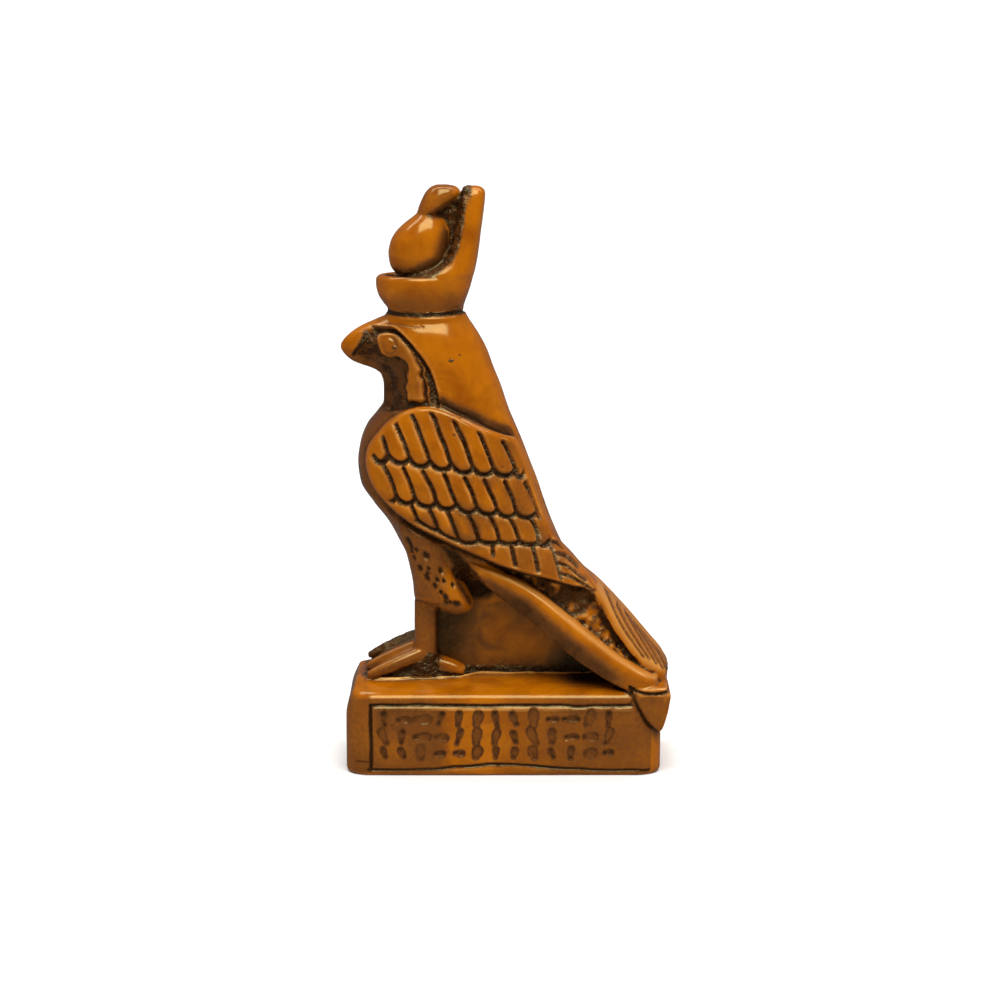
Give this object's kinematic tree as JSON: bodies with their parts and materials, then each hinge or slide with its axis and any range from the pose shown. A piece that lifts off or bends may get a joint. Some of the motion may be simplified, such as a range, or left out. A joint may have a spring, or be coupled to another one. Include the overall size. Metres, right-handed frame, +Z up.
{
  "type": "horus falcon figure",
  "caption": "Small standing falcon figure with a tall double crown, folded wings and a long tail, on a rectangular plinth with strokes in a framed panel, cast in one piece of amber resin.",
  "frame": {"origin": "on the ground under the middle of the figure's length and width", "axes": "+Z up; +X towards the tail, so the beak points to -X; the figure is symmetric about the plane Y = 0"},
  "size_m": [0.0572, 0.0274, 0.1016],
  "materials": {
    "amber_resin": "translucent amber resin with a dark brown wash in the hollows, under gloss varnish"
  },
  "bodies": {
    "root": {"falcon_figure": "amber_resin"}
  },
  "joints": []
}
